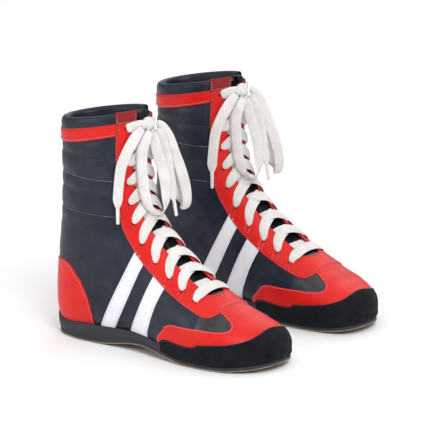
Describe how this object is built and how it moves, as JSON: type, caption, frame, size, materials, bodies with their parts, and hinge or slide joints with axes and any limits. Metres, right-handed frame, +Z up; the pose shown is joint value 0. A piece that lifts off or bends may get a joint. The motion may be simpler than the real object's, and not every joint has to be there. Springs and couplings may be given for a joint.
{
  "type": "boxing boots",
  "caption": "Pair of high lace-up boxing boots with quilted shafts, padded collars, side stripes, suede toe guards, thin flat soles and laces tied in a bow.",
  "frame": {"origin": "centre of the pair's footprint on the floor, halfway between the boots", "axes": "+X towards the toes, +Z up, +Y towards the wearer's left; the right boot stands at -Y"},
  "size_m": [0.3034, 0.2984, 0.2684],
  "materials": {
    "navy_leather": "smooth grain leather, semi-gloss, quilted on the shaft",
    "red_leather": "smooth grain leather, semi-gloss",
    "white_leather": "smooth leather, satin",
    "black_suede": "suede, matte",
    "tongue_leather": "soft leather, satin",
    "lining_cloth": "woven lining, matte",
    "lace_cotton": "flat woven cotton",
    "aglet_plastic": "clear tape tip, glossy",
    "sole_leather": "split leather, matte",
    "rand_rubber": "matte",
    "insole_board": "leather board, matte"
  },
  "bodies": {
    "right_boot": {"right_outsole": "sole_leather", "right_insole_board": "insole_board", "right_sockliner": "lining_cloth", "right_vamp": "navy_leather", "right_quarter_outer": "navy_leather", "right_quarter_inner": "navy_leather", "right_lining_outer": "lining_cloth", "right_lining_inner": "lining_cloth", "right_heel_counter": "insole_board", "right_toe_guard": "black_suede", "right_toe_overlay": "red_leather", "right_heel_patch": "red_leather", "right_rand": "rand_rubber", "right_collar_band": "red_leather", "right_collar_roll": "navy_leather", "right_backstay": "red_leather", "right_stripe_outer_rear": "white_leather", "right_stripe_outer_front": "white_leather", "right_stripe_inner_rear": "white_leather", "right_stripe_inner_front": "white_leather", "right_eyestay": "red_leather", "right_lace": "lace_cotton", "right_knot": "lace_cotton"},
    "right_tongue_body": {"right_tongue": "tongue_leather"},
    "right_front_loop_body": {"right_front_loop": "lace_cotton"},
    "right_rear_loop_body": {"right_rear_loop": "lace_cotton"},
    "right_outer_tail_body": {"right_outer_tail": "lace_cotton", "right_outer_aglet": "aglet_plastic"},
    "right_front_tail_body": {"right_front_tail": "lace_cotton", "right_front_aglet": "aglet_plastic"},
    "left_boot": {"left_outsole": "sole_leather", "left_insole_board": "insole_board", "left_sockliner": "lining_cloth", "left_vamp": "navy_leather", "left_quarter_outer": "navy_leather", "left_quarter_inner": "navy_leather", "left_lining_outer": "lining_cloth", "left_lining_inner": "lining_cloth", "left_heel_counter": "insole_board", "left_toe_guard": "black_suede", "left_toe_overlay": "red_leather", "left_heel_patch": "red_leather", "left_rand": "rand_rubber", "left_collar_band": "red_leather", "left_collar_roll": "navy_leather", "left_backstay": "red_leather", "left_stripe_outer_rear": "white_leather", "left_stripe_outer_front": "white_leather", "left_stripe_inner_rear": "white_leather", "left_stripe_inner_front": "white_leather", "left_eyestay": "red_leather", "left_lace": "lace_cotton", "left_knot": "lace_cotton"},
    "left_tongue_body": {"left_tongue": "tongue_leather"},
    "left_front_loop_body": {"left_front_loop": "lace_cotton"},
    "left_rear_loop_body": {"left_rear_loop": "lace_cotton"},
    "left_outer_tail_body": {"left_outer_tail": "lace_cotton", "left_outer_aglet": "aglet_plastic"},
    "left_front_tail_body": {"left_front_tail": "lace_cotton", "left_front_aglet": "aglet_plastic"}
  },
  "joints": [
    {"name": "left_boot_lift", "type": "slide", "parent": "right_boot", "child": "left_boot", "axis": [0, 0, 1], "range_m": [0, 0.3]},
    {"name": "right_tongue_hinge", "type": "hinge", "parent": "right_boot", "child": "right_tongue_body", "pos_m": [0.06016, -0.09591, 0.06308], "axis": [0, -1, 0], "range_deg": [0, 7], "stiffness_Nm_per_rad": 3},
    {"name": "right_front_loop_swing", "type": "hinge", "parent": "right_boot", "child": "right_front_loop_body", "pos_m": [-0.0296, -0.093, 0.248], "axis": [0, -1, 0], "range_deg": [0, 40]},
    {"name": "right_rear_loop_swing", "type": "hinge", "parent": "right_boot", "child": "right_rear_loop_body", "pos_m": [-0.0296, -0.093, 0.248], "axis": [0, -1, 0], "range_deg": [0, 40]},
    {"name": "right_outer_tail_swing", "type": "hinge", "parent": "right_boot", "child": "right_outer_tail_body", "pos_m": [-0.0296, -0.093, 0.248], "axis": [-0.8, -0.6, 0], "range_deg": [0, 40]},
    {"name": "right_front_tail_swing", "type": "hinge", "parent": "right_boot", "child": "right_front_tail_body", "pos_m": [-0.0296, -0.093, 0.248], "axis": [0, -1, 0], "range_deg": [0, 40]},
    {"name": "left_tongue_hinge", "type": "hinge", "parent": "left_boot", "child": "left_tongue_body", "pos_m": [0.05216, 0.09591, 0.06308], "axis": [0, -1, 0], "range_deg": [0, 7], "stiffness_Nm_per_rad": 3},
    {"name": "left_front_loop_swing", "type": "hinge", "parent": "left_boot", "child": "left_front_loop_body", "pos_m": [-0.0376, 0.093, 0.248], "axis": [0, -1, 0], "range_deg": [0, 40]},
    {"name": "left_rear_loop_swing", "type": "hinge", "parent": "left_boot", "child": "left_rear_loop_body", "pos_m": [-0.0376, 0.093, 0.248], "axis": [0, -1, 0], "range_deg": [0, 40]},
    {"name": "left_outer_tail_swing", "type": "hinge", "parent": "left_boot", "child": "left_outer_tail_body", "pos_m": [-0.0376, 0.093, 0.248], "axis": [-0.8, -0.6, 0], "range_deg": [0, 40]},
    {"name": "left_front_tail_swing", "type": "hinge", "parent": "left_boot", "child": "left_front_tail_body", "pos_m": [-0.0376, 0.093, 0.248], "axis": [0, -1, 0], "range_deg": [0, 40]}
  ]
}
